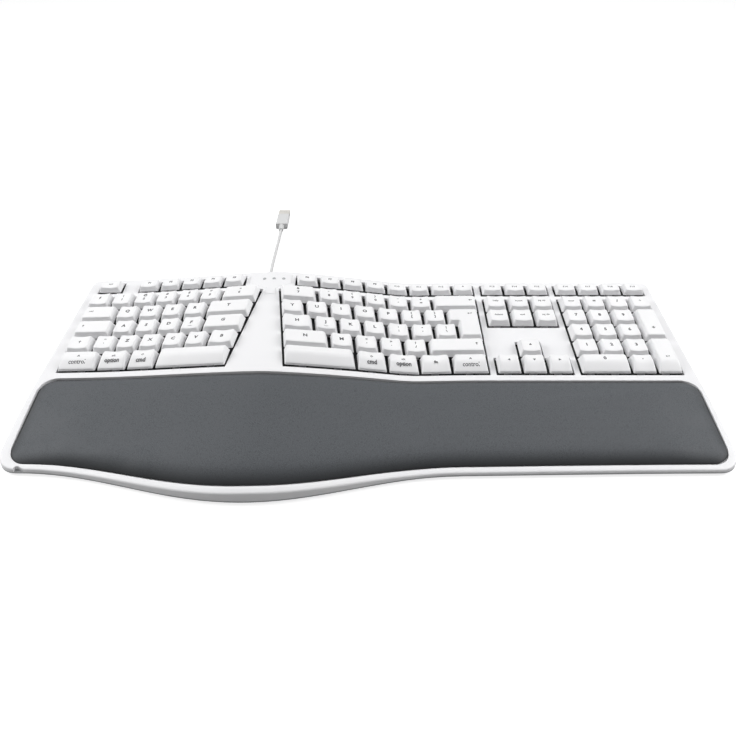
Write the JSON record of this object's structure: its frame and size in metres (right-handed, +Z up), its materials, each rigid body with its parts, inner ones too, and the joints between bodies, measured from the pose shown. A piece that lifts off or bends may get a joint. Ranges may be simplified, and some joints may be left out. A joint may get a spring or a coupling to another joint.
{
  "type": "ergonomic split keyboard with palm rest",
  "caption": "Wired ergonomic keyboard with a wave-shaped one-piece case, two fanned key halves, navigation block, number pad and a full-width padded palm rest.",
  "frame": {"origin": "on the table, within 3 mm of the point under the centre of the case's outline", "axes": "+X to the typist's right along the key rows, +Y towards the rear where the cord leaves, +Z up"},
  "size_m": [0.4914, 0.4415, 0.0489],
  "materials": {
    "case_shell": "fine satin texture, white",
    "case_floor": "satin, pale grey",
    "trim_panel": "satin, white",
    "indicator_lens": "translucent, pale",
    "palm_pad": "soft fine-grained leatherette, dark grey",
    "guide_plastic": "moulded, dark",
    "silicone": "translucent silicone",
    "membrane_film": "clear printed film",
    "steel_plate": "zinc-plated sheet",
    "circuit_board": "solder mask",
    "screw_steel": "zinc plated",
    "foot_rubber": "matte grey",
    "tilt_foot": "satin, pale grey",
    "strain_relief": "soft PVC, pale",
    "cord_jacket": "satin PVC, pale",
    "hank_tie": "woven hook-and-loop strap, pale",
    "plug_grip": "moulded, pale",
    "plug_metal": "nickel plated",
    "keycap": "fine matte texture, white, grey print"
  },
  "bodies": {
    "chassis": {"backing_plate": "steel_plate", "bottom_case": "case_floor", "case_screws": "screw_steel", "centre_panel": "trim_panel", "controller_board": "circuit_board", "cord_hank": "cord_jacket", "cord_lead": "cord_jacket", "cord_run": "cord_jacket", "dome_sheet": "silicone", "hank_tie": "hank_tie", "indicator_lenses": "indicator_lens", "key_guide_frame": "guide_plastic", "membrane_sheet": "membrane_film", "palm_cushion": "palm_pad", "plug_body": "plug_grip", "plug_shell": "plug_metal", "rubber_feet": "foot_rubber", "strain_relief": "strain_relief", "top_case": "case_shell"},
    "tilt_foot_left": {"tilt_foot_left": "tilt_foot"},
    "tilt_foot_right": {"tilt_foot_right": "tilt_foot"},
    "key_arrow_down": {"key_arrow_down": "keycap"},
    "key_arrow_left": {"key_arrow_left": "keycap"},
    "key_arrow_right": {"key_arrow_right": "keycap"},
    "key_arrow_up": {"key_arrow_up": "keycap"},
    "key_backspace": {"key_backspace": "keycap"},
    "key_caps_lock": {"key_caps_lock": "keycap"},
    "key_command_left": {"key_command_left": "keycap"},
    "key_command_right": {"key_command_right": "keycap"},
    "key_control_left": {"key_control_left": "keycap"},
    "key_control_right": {"key_control_right": "keycap"},
    "key_enter": {"key_enter": "keycap"},
    "key_escape": {"key_escape": "keycap"},
    "key_fn": {"key_fn": "keycap"},
    "key_option_left": {"key_option_left": "keycap"},
    "key_option_right": {"key_option_right": "keycap"},
    "key_pad_enter": {"key_pad_enter": "keycap"},
    "key_pad_plus": {"key_pad_plus": "keycap"},
    "key_pad_point": {"key_pad_point": "keycap"},
    "key_pad_zero": {"key_pad_zero": "keycap"},
    "key_shift_left": {"key_shift_left": "keycap"},
    "key_shift_right": {"key_shift_right": "keycap"},
    "key_space_left": {"key_space_left": "keycap"},
    "key_space_right": {"key_space_right": "keycap"},
    "key_tab": {"key_tab": "keycap"},
    "keys_function_left": {"keys_function_left": "keycap"},
    "keys_function_middle": {"keys_function_middle": "keycap"},
    "keys_function_pad": {"keys_function_pad": "keycap"},
    "keys_function_right": {"keys_function_right": "keycap"},
    "keys_home_left": {"keys_home_left": "keycap"},
    "keys_home_right": {"keys_home_right": "keycap"},
    "keys_lower_left": {"keys_lower_left": "keycap"},
    "keys_lower_right": {"keys_lower_right": "keycap"},
    "keys_navigation": {"keys_navigation": "keycap"},
    "keys_number_left": {"keys_number_left": "keycap"},
    "keys_number_right": {"keys_number_right": "keycap"},
    "keys_pad_digits": {"keys_pad_digits": "keycap"},
    "keys_pad_operators": {"keys_pad_operators": "keycap"},
    "keys_top_left": {"keys_top_left": "keycap"},
    "keys_top_right": {"keys_top_right": "keycap"}
  },
  "joints": [
    {"name": "key_arrow_down_press", "type": "slide", "parent": "chassis", "child": "key_arrow_down", "axis": [0, 0, -1], "range_m": [0, 0.003], "stiffness_N_per_m": 180, "springref_m": -0.001},
    {"name": "key_arrow_left_press", "type": "slide", "parent": "chassis", "child": "key_arrow_left", "axis": [0, 0, -1], "range_m": [0, 0.003], "stiffness_N_per_m": 180, "springref_m": -0.001},
    {"name": "key_arrow_right_press", "type": "slide", "parent": "chassis", "child": "key_arrow_right", "axis": [0, 0, -1], "range_m": [0, 0.003], "stiffness_N_per_m": 180, "springref_m": -0.001},
    {"name": "key_arrow_up_press", "type": "slide", "parent": "chassis", "child": "key_arrow_up", "axis": [0, 0, -1], "range_m": [0, 0.003], "stiffness_N_per_m": 180, "springref_m": -0.001},
    {"name": "key_backspace_press", "type": "slide", "parent": "chassis", "child": "key_backspace", "axis": [0, 0, -1], "range_m": [0, 0.003], "stiffness_N_per_m": 180, "springref_m": -0.001},
    {"name": "key_caps_lock_press", "type": "slide", "parent": "chassis", "child": "key_caps_lock", "axis": [0, 0, -1], "range_m": [0, 0.003], "stiffness_N_per_m": 180, "springref_m": -0.001},
    {"name": "key_command_left_press", "type": "slide", "parent": "chassis", "child": "key_command_left", "axis": [0, 0, -1], "range_m": [0, 0.003], "stiffness_N_per_m": 180, "springref_m": -0.001},
    {"name": "key_command_right_press", "type": "slide", "parent": "chassis", "child": "key_command_right", "axis": [0, 0, -1], "range_m": [0, 0.003], "stiffness_N_per_m": 180, "springref_m": -0.001},
    {"name": "key_control_left_press", "type": "slide", "parent": "chassis", "child": "key_control_left", "axis": [0, 0, -1], "range_m": [0, 0.003], "stiffness_N_per_m": 180, "springref_m": -0.001},
    {"name": "key_control_right_press", "type": "slide", "parent": "chassis", "child": "key_control_right", "axis": [0, 0, -1], "range_m": [0, 0.003], "stiffness_N_per_m": 180, "springref_m": -0.001},
    {"name": "key_enter_press", "type": "slide", "parent": "chassis", "child": "key_enter", "axis": [0, 0, -1], "range_m": [0, 0.003], "stiffness_N_per_m": 180, "springref_m": -0.001},
    {"name": "key_escape_press", "type": "slide", "parent": "chassis", "child": "key_escape", "axis": [0, 0, -1], "range_m": [0, 0.003], "stiffness_N_per_m": 180, "springref_m": -0.001},
    {"name": "key_fn_press", "type": "slide", "parent": "chassis", "child": "key_fn", "axis": [0, 0, -1], "range_m": [0, 0.003], "stiffness_N_per_m": 180, "springref_m": -0.001},
    {"name": "key_option_left_press", "type": "slide", "parent": "chassis", "child": "key_option_left", "axis": [0, 0, -1], "range_m": [0, 0.003], "stiffness_N_per_m": 180, "springref_m": -0.001},
    {"name": "key_option_right_press", "type": "slide", "parent": "chassis", "child": "key_option_right", "axis": [0, 0, -1], "range_m": [0, 0.003], "stiffness_N_per_m": 180, "springref_m": -0.001},
    {"name": "key_pad_enter_press", "type": "slide", "parent": "chassis", "child": "key_pad_enter", "axis": [0, 0, -1], "range_m": [0, 0.003], "stiffness_N_per_m": 180, "springref_m": -0.001},
    {"name": "key_pad_plus_press", "type": "slide", "parent": "chassis", "child": "key_pad_plus", "axis": [0, 0, -1], "range_m": [0, 0.003], "stiffness_N_per_m": 180, "springref_m": -0.001},
    {"name": "key_pad_point_press", "type": "slide", "parent": "chassis", "child": "key_pad_point", "axis": [0, 0, -1], "range_m": [0, 0.003], "stiffness_N_per_m": 180, "springref_m": -0.001},
    {"name": "key_pad_zero_press", "type": "slide", "parent": "chassis", "child": "key_pad_zero", "axis": [0, 0, -1], "range_m": [0, 0.003], "stiffness_N_per_m": 180, "springref_m": -0.001},
    {"name": "key_shift_left_press", "type": "slide", "parent": "chassis", "child": "key_shift_left", "axis": [0, 0, -1], "range_m": [0, 0.003], "stiffness_N_per_m": 180, "springref_m": -0.001},
    {"name": "key_shift_right_press", "type": "slide", "parent": "chassis", "child": "key_shift_right", "axis": [0, 0, -1], "range_m": [0, 0.003], "stiffness_N_per_m": 180, "springref_m": -0.001},
    {"name": "key_space_left_press", "type": "slide", "parent": "chassis", "child": "key_space_left", "axis": [0, 0, -1], "range_m": [0, 0.003], "stiffness_N_per_m": 180, "springref_m": -0.001},
    {"name": "key_space_right_press", "type": "slide", "parent": "chassis", "child": "key_space_right", "axis": [0, 0, -1], "range_m": [0, 0.003], "stiffness_N_per_m": 180, "springref_m": -0.001},
    {"name": "key_tab_press", "type": "slide", "parent": "chassis", "child": "key_tab", "axis": [0, 0, -1], "range_m": [0, 0.003], "stiffness_N_per_m": 180, "springref_m": -0.001},
    {"name": "keys_function_left_press", "type": "slide", "parent": "chassis", "child": "keys_function_left", "axis": [0, 0, -1], "range_m": [0, 0.003], "stiffness_N_per_m": 900, "springref_m": -0.001},
    {"name": "keys_function_middle_press", "type": "slide", "parent": "chassis", "child": "keys_function_middle", "axis": [0, 0, -1], "range_m": [0, 0.003], "stiffness_N_per_m": 540, "springref_m": -0.001},
    {"name": "keys_function_pad_press", "type": "slide", "parent": "chassis", "child": "keys_function_pad", "axis": [0, 0, -1], "range_m": [0, 0.003], "stiffness_N_per_m": 720, "springref_m": -0.001},
    {"name": "keys_function_right_press", "type": "slide", "parent": "chassis", "child": "keys_function_right", "axis": [0, 0, -1], "range_m": [0, 0.003], "stiffness_N_per_m": 1440, "springref_m": -0.001},
    {"name": "keys_home_left_press", "type": "slide", "parent": "chassis", "child": "keys_home_left", "axis": [0, 0, -1], "range_m": [0, 0.003], "stiffness_N_per_m": 900, "springref_m": -0.001},
    {"name": "keys_home_right_press", "type": "slide", "parent": "chassis", "child": "keys_home_right", "axis": [0, 0, -1], "range_m": [0, 0.003], "stiffness_N_per_m": 1260, "springref_m": -0.001},
    {"name": "keys_lower_left_press", "type": "slide", "parent": "chassis", "child": "keys_lower_left", "axis": [0, 0, -1], "range_m": [0, 0.003], "stiffness_N_per_m": 1080, "springref_m": -0.001},
    {"name": "keys_lower_right_press", "type": "slide", "parent": "chassis", "child": "keys_lower_right", "axis": [0, 0, -1], "range_m": [0, 0.003], "stiffness_N_per_m": 900, "springref_m": -0.001},
    {"name": "keys_navigation_press", "type": "slide", "parent": "chassis", "child": "keys_navigation", "axis": [0, 0, -1], "range_m": [0, 0.003], "stiffness_N_per_m": 1080, "springref_m": -0.001},
    {"name": "keys_number_left_press", "type": "slide", "parent": "chassis", "child": "keys_number_left", "axis": [0, 0, -1], "range_m": [0, 0.003], "stiffness_N_per_m": 1260, "springref_m": -0.001},
    {"name": "keys_number_right_press", "type": "slide", "parent": "chassis", "child": "keys_number_right", "axis": [0, 0, -1], "range_m": [0, 0.003], "stiffness_N_per_m": 1080, "springref_m": -0.001},
    {"name": "keys_pad_digits_press", "type": "slide", "parent": "chassis", "child": "keys_pad_digits", "axis": [0, 0, -1], "range_m": [0, 0.003], "stiffness_N_per_m": 1620, "springref_m": -0.001},
    {"name": "keys_pad_operators_press", "type": "slide", "parent": "chassis", "child": "keys_pad_operators", "axis": [0, 0, -1], "range_m": [0, 0.003], "stiffness_N_per_m": 720, "springref_m": -0.001},
    {"name": "keys_top_left_press", "type": "slide", "parent": "chassis", "child": "keys_top_left", "axis": [0, 0, -1], "range_m": [0, 0.003], "stiffness_N_per_m": 900, "springref_m": -0.001},
    {"name": "keys_top_right_press", "type": "slide", "parent": "chassis", "child": "keys_top_right", "axis": [0, 0, -1], "range_m": [0, 0.003], "stiffness_N_per_m": 1260, "springref_m": -0.001},
    {"name": "tilt_foot_left_hinge", "type": "hinge", "parent": "chassis", "child": "tilt_foot_left", "pos_m": [-0.19, 0.1, 0.0033], "axis": [1, 0, 0], "range_deg": [0, 85]},
    {"name": "tilt_foot_right_hinge", "type": "hinge", "parent": "chassis", "child": "tilt_foot_right", "pos_m": [0.19, 0.1, 0.0033], "axis": [1, 0, 0], "range_deg": [0, 85]}
  ]
}
